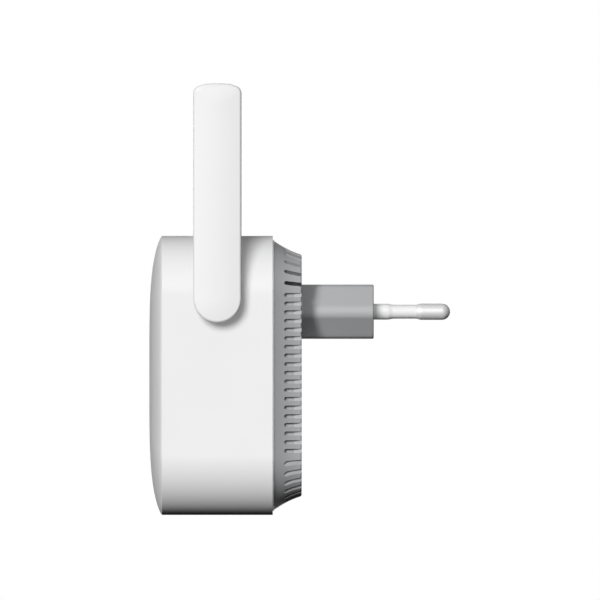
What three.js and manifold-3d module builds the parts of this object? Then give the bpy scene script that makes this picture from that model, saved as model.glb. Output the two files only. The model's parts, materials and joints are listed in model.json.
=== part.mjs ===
// A plug-in wifi range extender: a rounded square housing that hangs on its own mains plug, with two
// folding antennas on its sides. Millimetres, +Z up, the front faces -Y and the plug points to +Y.
// The origin is the centre of the plug body's flat end face, between the two pins.

import * as THREE from 'three';
import Module from 'manifold-3d';
import { LoftGeometry } from 'three/addons/geometries/LoftGeometry.js';
import { mergeVertices } from 'three/addons/utils/BufferGeometryUtils.js';

// Driving dimensions.
const BODY = { z: -16.1, half: 35.25, corner: 15, front: -53.6, rear: -25.5, wall: 2 };
const CORNER_CENTRE = 20.2;
const DOME = { height: 3.1, half: 35, flatness: 4.4, fall: 0.8 };
const COVER = { half: 34.2, taper: 0.72, flare: 0.029, seam: 0.1, edge: 0.6, panel: 2, rear: -18.2 };
const COVER_LIP = 2.7;
const FLARE_MIDDLE = 3.4;
const CHAMBER = { half: 31, depth: 4.2 };
const SLOT = { width: 1, pitch: 2.19, start: 2.9, floor: 29.6, perSide: 18, perCorner: 7, angle: 14 };
const PLUG = { height: 13.7, vertex: 18.69, round: 2.5, wall: 2, end: 3, back: -22 };
const PIN = { base: 9.3, tilt: 1.66, root: -10, neck: 1.25, radius: 2.05, tipFrom: 10.8, length: 19.45 };
const SLEEVE = { back: -4.4, collar: 3.2, collarEnd: -3.35, root: 2, taperFrom: 3.9, neck: 1.75, end: 10.6 };
const TERMINAL = { bore: 1.6, radius: 2.4, back: -12, front: -7, tail: 1.5, tailEnd: -22.4, z: [-2.3, -1.8] };
const ANTENNA = { y: -39.5, z: 3.3, width: 12.2, top: 54.4, gap: 0.35, standoff: 6, split: 3.15, wall: 1.2 };
const BARREL = { radius: 3.5, bore: 1.9, groove: 2.7, reach: -6.7, hole: 3.8 };
const SEAT = { radius: 6.8, depth: 3.05, thickness: 1.4 };
const WASHER = { radius: 5.8, thickness: 0.8, play: 0.1 };
const CLIP = { radius: 5.2, opening: 30, from: -5.05, to: -4.35, groove: [-5.3, -4.1] };
const RADIATOR = { x: [2.9, 3.5], half: 4.2, from: 8, to: 50 };
const CABLE = 0.55;
const FEED_PATH = [
  [2.27, 0, 16], [2.27, 0, 9], [2.27, 0, 4.5], [2.2, 0, 2.2], [1.75, 0, 0.8], [0.8, 0, 0.15],
  [-1, 0, 0], [-4, 0, 0], [-7.2, 0, 0],
];
const COAX_PATH = [
  [27.4, -39.5, 3.3], [25.6, -39.5, 3.2], [23.6, -40.6, 1.6], [22.2, -42.8, -1.6], [22, -44.2, -3.4],
  [22, -45.3, -3.8],
];
const BOSS = { offset: 22.5, radius: 3, end: -20.6, rooted: 0.9, bore: 12 };
const SCREW = { shank: 1.2, hole: 1.5, clear: 1.8, head: 2.6, seat: 1, recess: 2.9, depth: 1.2, length: 11 };
const BOARD_SCREW = { length: 4.5, head: 2.2, proud: 1.1 };
const CROSS = { reach: 1.3, half: 0.3, depth: 0.5 };
const MAIN_BOARD = { front: -47.2, back: -46, half: 29.5 };
const POWER_BOARD = { front: -24, back: -22.8, half: 27 };
const BOARD_NOTCH = 18.8;
const BOARD_POST = { x: 26, radius: 2.4, bore: 5 };
const SOLDER = 0.1;
const JOIN = 0.1;
const JACK = { half: 8, front: -45.7, back: -32.4, mouth: -50.1, top: -29, skin: 0.4 };
const INSERT = { half: 7.4, inset: 0.6, mouth: -49.9 };
const PLUG_SPACE = { half: 5.95, y: [-43.5, -35.2], top: -36.5 };
const LATCH_SPACE = { half: 3, y: [-35.5, -33.8], top: -38 };
const CONTACT_SPACE = { half: 5.4, y: [-44.8, -43], z: [-48.5, -36.5] };
const CONTACTS = { count: 8, pitch: 1.02, half: 0.22, carrier: 5.1, y: [-44.6, -44.1], z: [-40, -36.9] };
const CONTACT_FINGER = [
  [-44.5, -39.9], [-44.5, -47.6], [-44.1, -47.9], [-42.6, -43.4], [-42.9, -43.3], [-44.2, -47.1],
  [-44.2, -39.9],
];
const BUTTON = { x: 14.5, y: -42.6, length: 6, width: 3.4, face: -51.2, gap: 0.3, flange: 1.1, shelf: 0.25 };
const PLUNGER = { radius: 1, z: [-47.9, -44.3] };
const SWITCH = { half: 3, back: -39.4, z: [-45, -41.4], bore: 1.3, boreEnd: -43.4 };
const LIGHT = { x: 4, z: -38, radius: 0.8, hole: 1.1, front: -56.3, back: -48.4, collar: 1.7 };
const LIGHT_COLLAR = [-53.8, -52.8];
const LAMP = { half: 0.8, height: 0.8, depth: 0.4 };
const SHIELD = { height: 2.4, sheet: 0.3 };
const SINK = { half: 11, y: [-42.4, -41.5], z: [-23, -5], fins: 7, pitch: 3.3, fin: 0.5, finY: [-41.6, -40] };
const CORE = { x: [-9, 9], y: [-33.5, -28.5], z: [-27, -11], window: [2.6, 7.2], windowZ: [-24.5, -13.5] };
const WINDING = { x: [-6.8, 6.8], y: [-36.4, -25], z: [-24.2, -13.8], bore: [-3, 3], boreY: [-33.9, -28.1] };
const CHOKE = { radius: 3.2, tube: 1.5, x: -15, y: -26, z: -15 };
const FIT = 0.3;
const RADIAL_STEPS = 16;

// Parts that stand on the boards, by the box or rod that each one fills.
const ON_BOARDS = {
  thermal_pad: [[-9, 9], [-43.3, -42.6], [-21, -7]],
  flash_chip: [[15, 21], [-45.9, -44.3], [-20, -12]],
  crystal: [[-19, -15.6], [-45.9, -45], [-16, -13.4]],
  network_magnetics: [[-18, -9.6], [-45.9, -40], [-45, -32]],
  bridge_rectifier: [[-19, -12], [-27, -24.1], [-7, 0]],
  board_link_header: [[10, 18], [-45.9, -24.1], [-34, -31.5]],
  insulation_sheet: [[-18.5, 18.5], [-39.2, -38.9], [-28.5, 9]],
};
const CAPACITORS = {
  mains_capacitor_1: { radius: 4, x: 15.5, y: [-36.5, -24.1], z: -15 },
  mains_capacitor_2: { radius: 4, x: 15.5, y: [-36.5, -24.1], z: -25.5 },
  output_capacitor: { radius: 3.2, x: -15, y: [-35, -24.1], z: -27 },
};
const FUSE = { radius: 1.8, x: 15.5, y: -26.2, z: [-8, 1] };

const WHITE = [0xf0f0ef, 0.45, 0];
const GREY = [0xb4b6b9, 0.5, 0];
const BLACK = [0x1b1b1d, 0.5, 0];
const CLEAR = [0xe6ecee, 0.15, 0];
const STEEL = [0xb9bcbf, 0.35, 1];
const NICKEL = [0xe2e2df, 0.25, 1];
const BRASS = [0xc9a554, 0.35, 1];
const GREEN = [0x1f5a3a, 0.6, 0];
const ALUMINIUM = [0xa9acb0, 0.4, 1];

const wasm = await Module();
wasm.setup();

const extender = new THREE.Group();

// Closed solids and their joins and cuts.

function solidOf(geometry) {
  const bare = geometry.index ? geometry.toNonIndexed() : geometry.clone();
  bare.deleteAttribute('normal');
  bare.deleteAttribute('uv');
  const merged = mergeVertices(bare, 1e-4);
  return new wasm.Manifold(new wasm.Mesh({
    numProp: 3,
    vertProperties: merged.attributes.position.array,
    triVerts: new Uint32Array(merged.index.array),
  }));
}

function geometryOf(solid) {
  const mesh = solid.getMesh();
  const geometry = new THREE.BufferGeometry();
  geometry.setAttribute('position', new THREE.BufferAttribute(mesh.vertProperties, 3));
  geometry.setIndex(new THREE.BufferAttribute(mesh.triVerts, 1));
  geometry.computeVertexNormals();
  return geometry;
}

function join(geometries) {
  const [first, ...others] = geometries.map(solidOf);
  return geometryOf(others.reduce((sum, other) => sum.add(other), first));
}

function cut(geometry, tools) {
  return geometryOf(tools.map(solidOf).reduce((left, tool) => left.subtract(tool), solidOf(geometry)));
}

function common(one, other) {
  return geometryOf(solidOf(one).intersect(solidOf(other)));
}

// Basic pieces, given by the spans that they fill.

function block([x0, x1], [y0, y1], [z0, z1]) {
  const geometry = new THREE.BoxGeometry(x1 - x0, y1 - y0, z1 - z0);
  return geometry.translate((x0 + x1) / 2, (y0 + y1) / 2, (z0 + z1) / 2);
}

function alongX(shape, x0, x1, options = {}) {
  const geometry = new THREE.ExtrudeGeometry(shape, { depth: x1 - x0, bevelEnabled: false, ...options });
  const turn = new THREE.Matrix4().makeBasis(
    new THREE.Vector3(0, 1, 0), new THREE.Vector3(0, 0, 1), new THREE.Vector3(1, 0, 0),
  );
  return geometry.applyMatrix4(turn).translate(x0, 0, 0);
}

function alongY(shape, y0, y1) {
  const depth = y1 - y0;
  const geometry = new THREE.ExtrudeGeometry(shape, { depth, bevelEnabled: false, curveSegments: 4 });
  return geometry.rotateX(Math.PI / 2).translate(0, y1, 0);
}

function alongZ(shape, z0, z1) {
  const depth = z1 - z0;
  const geometry = new THREE.ExtrudeGeometry(shape, { depth, bevelEnabled: false, curveSegments: 8 });
  return geometry.translate(0, 0, z0);
}

function rodX(radius, [x0, x1], y, z, steps = RADIAL_STEPS) {
  const geometry = new THREE.CylinderGeometry(radius, radius, x1 - x0, steps);
  return geometry.rotateZ(Math.PI / 2).translate((x0 + x1) / 2, y, z);
}

function rodY(radius, x, [y0, y1], z, steps = RADIAL_STEPS) {
  const geometry = new THREE.CylinderGeometry(radius, radius, y1 - y0, steps);
  return geometry.translate(x, (y0 + y1) / 2, z);
}

function rodZ(radius, x, y, [z0, z1], steps = RADIAL_STEPS) {
  const geometry = new THREE.CylinderGeometry(radius, radius, z1 - z0, steps);
  return geometry.rotateX(Math.PI / 2).translate(x, y, (z0 + z1) / 2);
}

function turned(profile, steps = RADIAL_STEPS) {
  return new THREE.LatheGeometry(profile.map(([r, y]) => new THREE.Vector2(r, y)), steps);
}

function wire(points, radius) {
  const section = new THREE.Shape().absarc(0, 0, radius, 0, Math.PI * 2);
  const path = new THREE.CatmullRomCurve3(points.map((point) => new THREE.Vector3(...point)));
  return new THREE.ExtrudeGeometry(section, { steps: 14, curveSegments: 2, extrudePath: path });
}

// A square outline with round corners, centred on the housing's axis, at one depth.
function ring(y, half, corner) {
  const stepsPerCorner = 5;
  const points = [];
  for (let quarter = 0; quarter < 4; quarter++) {
    const middle = (quarter + 0.5) * Math.PI / 2;
    const centreX = Math.sign(Math.cos(middle)) * (half - corner);
    const centreZ = Math.sign(Math.sin(middle)) * (half - corner);
    for (let step = 0; step <= stepsPerCorner; step++) {
      const angle = (quarter + step / stepsPerCorner) * Math.PI / 2;
      const x = centreX + corner * Math.cos(angle);
      const z = centreZ + corner * Math.sin(angle);
      points.push(new THREE.Vector3(-x, y, z + BODY.z));
    }
  }
  return points;
}

function skin(sections) {
  return new LoftGeometry(sections, { capStart: true, capEnd: true });
}

function squareRod(half, corner, [y0, y1]) {
  return skin([ring(y0, half, corner), ring(y1, half, corner)]);
}

// A polygon whose corners are rounded, each with its own radius.
function roundedPolygon(corners) {
  const shape = new THREE.Shape();
  corners.forEach(([x, z, radius], i) => {
    const here = new THREE.Vector2(x, z);
    const [before, after] = [corners.at(i - 1), corners[(i + 1) % corners.length]];
    const back = new THREE.Vector2(before[0] - x, before[1] - z).normalize();
    const ahead = new THREE.Vector2(after[0] - x, after[1] - z).normalize();
    const halfAngle = Math.acos(back.dot(ahead)) / 2;
    const middle = back.clone().add(ahead).normalize();
    const centre = here.clone().addScaledVector(middle, radius / Math.sin(halfAngle));
    const start = here.clone().addScaledVector(back, radius / Math.tan(halfAngle)).sub(centre);
    const end = here.clone().addScaledVector(ahead, radius / Math.tan(halfAngle)).sub(centre);
    shape.absarc(centre.x, centre.y, radius, start.angle(), end.angle(), false);
  });
  return shape;
}

function add(parent, name, geometry, [color, roughness, metalness]) {
  const material = new THREE.MeshStandardMaterial({ color, roughness, metalness });
  const mesh = new THREE.Mesh(geometry, material);
  mesh.name = name;
  parent.add(mesh);
  return mesh;
}

const SIDES = [['right', 1], ['left', -1]];
const CORNERS = [[1, 1], [-1, 1], [-1, -1], [1, -1]];

function bossPlaces() {
  return CORNERS.map(([sx, sz]) => [sx * BOSS.offset, BODY.z + sz * BOSS.offset]);
}

// The housing.

function domeRings(depth, half, corner) {
  return [0.2, 0.55, 0.75, 0.9, 0.97, 1].map((scale) => {
    const rise = DOME.height * (1 - scale ** DOME.flatness) ** DOME.fall;
    return ring(BODY.front + depth - rise, half * scale, corner * scale);
  });
}

function frontHousing() {
  const edge = BODY.half - DOME.half;
  const inner = BODY.half - BODY.wall;
  const innerCorner = BODY.corner - BODY.wall;
  const outside = skin([
    ...domeRings(0, DOME.half, BODY.corner),
    ring(BODY.front + edge, BODY.half, BODY.corner),
    ring(BODY.rear, BODY.half, BODY.corner),
  ]);
  const inside = skin([
    ...domeRings(BODY.wall, inner, innerCorner),
    ring(BODY.rear + 1, inner, innerCorner),
  ]);
  const rooted = BODY.front - BOSS.rooted;
  const seat = BODY.half - SEAT.depth;
  const posts = [
    ...bossPlaces().map(([x, z]) => rodY(BOSS.radius, x, [rooted, BOSS.end], z)),
    ...SIDES.map(([, side]) => rodY(BOARD_POST.radius, side * BOARD_POST.x,
      [rooted, MAIN_BOARD.front - FIT], BODY.z)),
    rodX(SEAT.radius, [-seat - SEAT.thickness, -seat], ANTENNA.y, ANTENNA.z),
    rodX(SEAT.radius, [seat, seat + SEAT.thickness], ANTENNA.y, ANTENNA.z),
  ];
  const floor = BODY.z - BODY.half;
  const wallSpan = [floor - 1, floor + BODY.wall + 1];
  const holes = [
    ...bossPlaces().map(([x, z]) => rodY(SCREW.hole, x, [BOSS.end - BOSS.bore, BOSS.end + 1], z)),
    ...SIDES.map(([, side]) => rodY(SCREW.hole, side * BOARD_POST.x,
      [MAIN_BOARD.front - BOARD_POST.bore, MAIN_BOARD.front], BODY.z)),
    rodX(BARREL.hole, [-BODY.half - 1, 1 - seat], ANTENNA.y, ANTENNA.z),
    rodX(BARREL.hole, [seat - 1, BODY.half + 1], ANTENNA.y, ANTENNA.z),
    block([-JACK.half - FIT, JACK.half + FIT], [JACK.front - FIT, JACK.back + FIT], wallSpan),
    alongZ(pill(BUTTON.gap), ...wallSpan),
    ...SIDES.map(([, side]) => rodY(LIGHT.hole, side * LIGHT.x,
      [BODY.front - DOME.height - 1, BODY.front + 1], LIGHT.z, 12)),
  ];
  return cut(join([cut(outside, [inside]), ...posts]), holes);
}

function coverHalf(aft) {
  return COVER.half - COVER.taper * aft + COVER.flare * aft ** 2;
}

function ventSlots() {
  const start = BODY.rear + SLOT.start;
  const end = COVER.rear + 1;
  const outer = COVER.half + 2;
  const slots = [];
  for (let side = 0; side < 4; side++) {
    for (let i = 0; i < SLOT.perSide; i++) {
      const along = (i + 0.5 - SLOT.perSide / 2) * SLOT.pitch;
      const slot = block([SLOT.floor, outer], [start, end],
        [along - SLOT.width / 2, along + SLOT.width / 2]);
      slots.push(slot.rotateY(side * Math.PI / 2).translate(0, 0, BODY.z));
    }
    for (let i = 0; i < SLOT.perCorner; i++) {
      const angle = THREE.MathUtils.degToRad(45 + (i - (SLOT.perCorner - 1) / 2) * SLOT.angle);
      const slot = block([SLOT.floor - CORNER_CENTRE, outer - CORNER_CENTRE], [start, end],
        [-SLOT.width / 2, SLOT.width / 2]);
      slot.rotateY(angle).translate(CORNER_CENTRE, 0, -CORNER_CENTRE);
      slots.push(slot.rotateY(side * Math.PI / 2).translate(0, 0, BODY.z));
    }
  }
  return slots;
}

function rearCover() {
  const depth = COVER.rear - BODY.rear;
  const flare = [COVER.seam, FLARE_MIDDLE, depth - COVER.edge].map((aft) => {
    const half = coverHalf(aft);
    return ring(BODY.rear + aft, half, half - CORNER_CENTRE);
  });
  const edgeHalf = coverHalf(depth) - COVER.edge;
  const outside = skin([...flare, ring(COVER.rear, edgeHalf, edgeHalf - CORNER_CENTRE)]);
  const lipHalf = BODY.half - BODY.wall - FIT;
  const lip = squareRod(lipHalf, lipHalf - CORNER_CENTRE, [BODY.rear - COVER_LIP, BODY.rear + 1]);
  const chamber = squareRod(CHAMBER.half, CHAMBER.half - CORNER_CENTRE,
    [BODY.rear - 3, BODY.rear + CHAMBER.depth]);
  const cavityHalf = SLOT.floor + FIT;
  const cavity = squareRod(cavityHalf, cavityHalf - CORNER_CENTRE,
    [BODY.rear - 3, COVER.rear - COVER.panel]);
  const screwHoles = bossPlaces().flatMap(([x, z]) => [
    rodY(SCREW.clear, x, [COVER.rear - 4, COVER.rear + 1], z),
    rodY(SCREW.recess, x, [COVER.rear - SCREW.depth, COVER.rear + 1], z),
  ]);
  const plugHole = alongY(plugOutline(FIT), COVER.rear - 4, COVER.rear + 1);
  return cut(join([outside, lip]), [chamber, cavity, plugHole, ...screwHoles, ...ventSlots()]);
}

function ventBaffle() {
  const outer = SLOT.floor - 0.05;
  const inner = outer - 1.2;
  const span = [BODY.rear + 1.6, COVER.rear - COVER.panel - FIT];
  return cut(squareRod(outer, outer - CORNER_CENTRE, span),
    [squareRod(inner, inner - CORNER_CENTRE, [span[0] - 1, span[1] + 1])]);
}

// The mains plug.

function plugOutline(grow) {
  const half = PLUG.height / 2 + grow;
  const vertex = PLUG.vertex + grow * Math.SQRT2;
  const flat = vertex - half;
  const round = Math.max(0.5, PLUG.round + grow);
  return roundedPolygon([
    [vertex, 0, round], [flat, half, round], [-flat, half, round],
    [-vertex, 0, round], [-flat, -half, round], [flat, -half, round],
  ]);
}

function pinGroup(side) {
  const group = new THREE.Group();
  group.position.x = side * PIN.base;
  group.rotation.z = THREE.MathUtils.degToRad(side * PIN.tilt);
  return group;
}

function plugBody() {
  const body = alongY(plugOutline(0), PLUG.back, 0);
  const flange = alongY(plugOutline(2.2), PLUG.back, COVER.rear - COVER.panel - FIT);
  const cavity = alongY(plugOutline(-PLUG.wall), PLUG.back - 1, -PLUG.end);
  const pinHoles = SIDES.map(([, side]) => {
    const group = pinGroup(side);
    group.updateMatrix();
    return rodY(2 + FIT, 0, [-PLUG.end - 1, 1], 0).applyMatrix4(group.matrix);
  });
  return cut(join([body, flange]), [cavity, ...pinHoles]);
}

function plugPin() {
  const centre = PIN.length - PIN.radius;
  const dome = [15, 35, 55, 75].map((degrees) => {
    const angle = THREE.MathUtils.degToRad(degrees);
    return [PIN.radius * Math.cos(angle), centre + PIN.radius * Math.sin(angle)];
  });
  return turned([
    [0, PIN.root], [PIN.neck, PIN.root], [PIN.neck, PIN.tipFrom],
    [PIN.radius, PIN.tipFrom], [PIN.radius, centre], ...dome, [0, PIN.length],
  ]);
}

function pinSleeve() {
  const { back, collar, collarEnd, root, taperFrom, neck, end } = SLEEVE;
  const bore = PIN.neck + FIT;
  return turned([
    [bore, back], [collar, back], [collar, collarEnd], [root, collarEnd], [root, taperFrom],
    [neck, taperFrom + root - neck], [neck, end], [bore, end], [bore, back],
  ]);
}

function pinTerminal() {
  const { bore, radius, back, front, tail, tailEnd, z } = TERMINAL;
  const clip = turned([[bore, back], [radius, back], [radius, front], [bore, front], [bore, back]]);
  return join([clip, block([-tail, tail], [tailEnd, back + JOIN], z)]);
}

// The antennas, drawn with the pivot at their origin and the outer face towards +X.

function antennaOutline(inset) {
  const half = ANTENNA.width / 2 - inset;
  const top = ANTENNA.top - inset;
  const shape = new THREE.Shape();
  shape.absarc(0, 0, half, Math.PI, Math.PI * 2);
  shape.lineTo(half, top - 2.4);
  shape.quadraticCurveTo(half, top - 0.7, half - 2, top - 0.45);
  shape.quadraticCurveTo(0, top + 0.45, 2 - half, top - 0.45);
  shape.quadraticCurveTo(-half, top - 0.7, -half, top - 2.4);
  return shape;
}

function antennaBlank() {
  const bevel = 0.6;
  return alongX(antennaOutline(0), ANTENNA.gap + bevel, ANTENNA.standoff - bevel, {
    bevelEnabled: true, bevelThickness: bevel, bevelSize: bevel, bevelOffset: -bevel, bevelSegments: 2,
    curveSegments: 8,
  });
}

function antennaCavity() {
  const x0 = ANTENNA.gap + ANTENNA.wall;
  const x1 = ANTENNA.standoff - ANTENNA.wall;
  return alongX(antennaOutline(ANTENNA.wall), x0, x1, { curveSegments: 6 });
}

function antennaHalf([x0, x1]) {
  const side = block([x0, x1], [-10, 10], [-10, ANTENNA.top + 5]);
  return common(cut(antennaBlank(), [antennaCavity()]), side);
}

function antennaInnerShell() {
  const floor = ANTENNA.gap + ANTENNA.wall;
  const barrel = rodX(BARREL.radius, [BARREL.reach, floor - JOIN], 0, 0);
  const core = rodX(BARREL.groove, [BARREL.reach, 0], 0, 0);
  const groove = cut(rodX(BARREL.radius + 1, CLIP.groove, 0, 0), [core]);
  const bore = rodX(BARREL.bore, [BARREL.reach - 1, floor + 1], 0, 0, 12);
  return cut(join([antennaHalf([-1, ANTENNA.split - 0.05]), barrel]), [groove, bore]);
}

function antennaBoard() {
  return block(RADIATOR.x, [-RADIATOR.half, RADIATOR.half], [RADIATOR.from, RADIATOR.to]);
}

function feedCable() {
  return wire(FEED_PATH, CABLE);
}

function frictionWasher() {
  const end = -SEAT.depth - WASHER.play;
  const ring = rodX(WASHER.radius, [end - WASHER.thickness, end], 0, 0);
  return cut(ring, [rodX(BARREL.radius + FIT, [BARREL.reach, 0], 0, 0)]);
}

function retainerClip() {
  const opening = THREE.MathUtils.degToRad(CLIP.opening);
  const shape = new THREE.Shape();
  shape.absarc(0, 0, CLIP.radius, opening, Math.PI * 2 - opening);
  shape.absarc(0, 0, BARREL.groove + FIT, Math.PI * 2 - opening, opening, true);
  return alongX(shape, CLIP.from, CLIP.to, { curveSegments: 16 });
}

function antenna(label, side) {
  const group = new THREE.Group();
  group.position.set(side * BODY.half, ANTENNA.y, ANTENNA.z);
  group.rotation.z = side > 0 ? 0 : Math.PI;
  add(group, `antenna_${label}_outer_shell`, antennaHalf([ANTENNA.split + 0.05, 10]), WHITE);
  add(group, `antenna_${label}_inner_shell`, antennaInnerShell(), WHITE);
  add(group, `antenna_${label}_board`, antennaBoard(), GREEN);
  add(group, `antenna_${label}_feed_cable`, feedCable(), BLACK);
  add(group, `antenna_${label}_friction_washer`, frictionWasher(), BLACK);
  add(group, `antenna_${label}_retainer_clip`, retainerClip(), STEEL);
  return group;
}

// The push button on the underside.

function pill(grow) {
  const radius = BUTTON.width / 2 + grow;
  const reach = (BUTTON.length - BUTTON.width) / 2;
  const shape = new THREE.Shape();
  shape.absarc(BUTTON.x + reach, BUTTON.y, radius, -Math.PI / 2, Math.PI / 2);
  shape.absarc(BUTTON.x - reach, BUTTON.y, radius, Math.PI / 2, Math.PI * 1.5);
  return shape;
}

function buttonCap() {
  const shelf = BODY.z - BODY.half + BODY.wall + BUTTON.shelf;
  return join([alongZ(pill(0), BUTTON.face, shelf + 0.5), alongZ(pill(BUTTON.flange), shelf, shelf + 1)]);
}

function buttonSwitch() {
  const { half, back, z, bore, boreEnd } = SWITCH;
  const body = block([BUTTON.x - half, BUTTON.x + half], [MAIN_BOARD.back + SOLDER, back], z);
  return cut(body, [rodZ(bore, BUTTON.x, BUTTON.y, [z[0] - 1, boreEnd], 12)]);
}

// The network jack, mouth down.

function jackShell() {
  const { half, front, back, mouth, top, skin: sheet } = JACK;
  return cut(block([-half, half], [front, back], [mouth, top]),
    [block([sheet - half, half - sheet], [front + sheet, back - sheet], [mouth - 1, top - sheet])]);
}

function jackInsert() {
  const { half, inset, mouth } = INSERT;
  const body = block([-half, half], [JACK.front + inset, JACK.back - inset], [mouth, JACK.top - inset]);
  const openSpaces = [PLUG_SPACE, LATCH_SPACE].map(
    (space) => block([-space.half, space.half], space.y, [JACK.mouth - 1, space.top]),
  );
  const contactSpace = block([-CONTACT_SPACE.half, CONTACT_SPACE.half], CONTACT_SPACE.y, CONTACT_SPACE.z);
  return cut(body, [...openSpaces, contactSpace]);
}

function jackContacts() {
  const { count, pitch, half, carrier, y, z } = CONTACTS;
  const finger = new THREE.Shape(CONTACT_FINGER.map((point) => new THREE.Vector2(...point)));
  const fingers = [];
  for (let i = 0; i < count; i++) {
    const x = (i + 0.5 - count / 2) * pitch;
    fingers.push(alongX(finger, x - half, x + half));
  }
  return join([block([-carrier, carrier], y, z), ...fingers]);
}

// The circuit boards and what they carry.

function notchedBoard({ front, back, half }) {
  const notches = CORNERS.map(([sx, sz]) => {
    const [x0, x1] = [sx * BOARD_NOTCH, sx * (half + 1)].sort((a, b) => a - b);
    const [z0, z1] = [sz * BOARD_NOTCH, sz * (half + 1)].sort((a, b) => a - b);
    return block([x0, x1], [front - 1, back + 1], [BODY.z + z0, BODY.z + z1]);
  });
  return cut(block([-half, half], [front, back], [BODY.z - half, BODY.z + half]), notches);
}

function mainBoard() {
  const holes = SIDES.map(([, side]) => rodY(SCREW.hole, side * BOARD_POST.x,
    [MAIN_BOARD.front - 1, MAIN_BOARD.back + 1], BODY.z));
  return cut(notchedBoard(MAIN_BOARD), holes);
}

function shieldCan([x0, x1], [z0, z1]) {
  const y0 = MAIN_BOARD.back + SOLDER;
  const y1 = y0 + SHIELD.height;
  const sheet = SHIELD.sheet;
  return cut(block([x0, x1], [y0, y1], [z0, z1]),
    [block([x0 + sheet, x1 - sheet], [y0 - 1, y1 - sheet], [z0 + sheet, z1 - sheet])]);
}

function heatSink() {
  const fins = [];
  for (let i = 0; i < SINK.fins; i++) {
    const x = (i - (SINK.fins - 1) / 2) * SINK.pitch;
    fins.push(block([x - SINK.fin, x + SINK.fin], SINK.finY, SINK.z));
  }
  return join([block([-SINK.half, SINK.half], SINK.y, SINK.z), ...fins]);
}

function transformerCore() {
  const windows = SIDES.map(([, side]) => {
    const [x0, x1] = CORE.window.map((x) => side * x).sort((a, b) => a - b);
    return block([x0, x1], [CORE.y[0] - 1, CORE.y[1] + 1], CORE.windowZ);
  });
  return cut(block(CORE.x, CORE.y, CORE.z), windows);
}

function transformerWinding() {
  const bore = block(WINDING.bore, WINDING.boreY, [WINDING.z[0] - 1, WINDING.z[1] + 1]);
  return cut(block(WINDING.x, WINDING.y, WINDING.z), [bore]);
}

function screw(length, head) {
  const { shank, seat } = SCREW;
  return turned([[0, -length], [shank, -length], [shank, -seat], [head, -seat], [head, 0], [0, 0]]);
}

function screwHeadRecess() {
  const { reach, half, depth } = CROSS;
  return join([
    block([-reach, reach], [-depth, 1], [-half, half]),
    block([-half, half], [-depth, 1], [-reach, reach]),
  ]);
}

function placedScrew(name, length, head, [x, y, z]) {
  const mesh = add(extender, name, cut(screw(length, head), [screwHeadRecess()]), STEEL);
  mesh.position.set(x, y, z);
}

function lightPipe(x) {
  const stem = rodY(LIGHT.radius, x, [LIGHT.front, LIGHT.back], LIGHT.z, 12);
  return join([stem, rodY(LIGHT.collar, x, LIGHT_COLLAR, LIGHT.z, 12)]);
}

function lampChip(x) {
  const { half, height, depth } = LAMP;
  const face = MAIN_BOARD.front - SOLDER;
  return block([x - half, x + half], [face - height, face], [LIGHT.z - depth, LIGHT.z + depth]);
}

function coax(side) {
  return wire(COAX_PATH.map(([x, y, z]) => [side * x, y, z]), CABLE);
}

add(extender, 'front_housing', frontHousing(), WHITE);
add(extender, 'rear_cover', rearCover(), GREY);
add(extender, 'vent_baffle', ventBaffle(), GREY);
add(extender, 'plug_body', plugBody(), GREY);
for (const [label, side] of SIDES) {
  const group = pinGroup(side);
  add(group, `plug_pin_${label}`, plugPin(), NICKEL);
  add(group, `pin_sleeve_${label}`, pinSleeve(), WHITE);
  add(group, `pin_terminal_${label}`, pinTerminal(), BRASS);
  extender.add(group);
}

for (const [label, side] of SIDES) {
  extender.add(antenna(label, side));
  add(extender, `coax_${label}`, coax(side), BLACK);
}

add(extender, 'wps_button', buttonCap(), WHITE);
add(extender, 'switch_plunger', rodZ(PLUNGER.radius, BUTTON.x, BUTTON.y, PLUNGER.z, 12), BLACK);
add(extender, 'wps_switch', buttonSwitch(), BLACK);

add(extender, 'jack_shell', jackShell(), STEEL);
add(extender, 'jack_insert', jackInsert(), BLACK);
add(extender, 'jack_contacts', jackContacts(), BRASS);

add(extender, 'main_board', mainBoard(), GREEN);
add(extender, 'processor_shield', shieldCan([-12, 12], [-24, -4]), STEEL);
add(extender, 'radio_shield', shieldCan([-17, 17], [-1, 12]), STEEL);
add(extender, 'thermal_pad', block(...ON_BOARDS.thermal_pad), GREY);
add(extender, 'heat_sink', heatSink(), ALUMINIUM);
add(extender, 'flash_chip', block(...ON_BOARDS.flash_chip), BLACK);
add(extender, 'crystal', block(...ON_BOARDS.crystal), STEEL);
add(extender, 'network_magnetics', block(...ON_BOARDS.network_magnetics), BLACK);
add(extender, 'status_led', lampChip(-LIGHT.x), CLEAR);
add(extender, 'signal_led', lampChip(LIGHT.x), CLEAR);
add(extender, 'status_light_pipe', lightPipe(-LIGHT.x), CLEAR);
add(extender, 'signal_light_pipe', lightPipe(LIGHT.x), CLEAR);

add(extender, 'power_board', notchedBoard(POWER_BOARD), GREEN);
add(extender, 'transformer_core', transformerCore(), BLACK);
add(extender, 'transformer_winding', transformerWinding(), BRASS);
for (const [name, { radius, x, y, z }] of Object.entries(CAPACITORS)) {
  add(extender, name, rodY(radius, x, y, z), BLACK);
}
add(extender, 'line_choke', new THREE.TorusGeometry(CHOKE.radius, CHOKE.tube, 8, 18).rotateX(Math.PI / 2)
  .translate(CHOKE.x, CHOKE.y, CHOKE.z), BRASS);
add(extender, 'bridge_rectifier', block(...ON_BOARDS.bridge_rectifier), BLACK);
add(extender, 'fuse', rodZ(FUSE.radius, FUSE.x, FUSE.y, FUSE.z, 12), CLEAR);
add(extender, 'board_link_header', block(...ON_BOARDS.board_link_header), BLACK);
add(extender, 'insulation_sheet', block(...ON_BOARDS.insulation_sheet), CLEAR);

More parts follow.
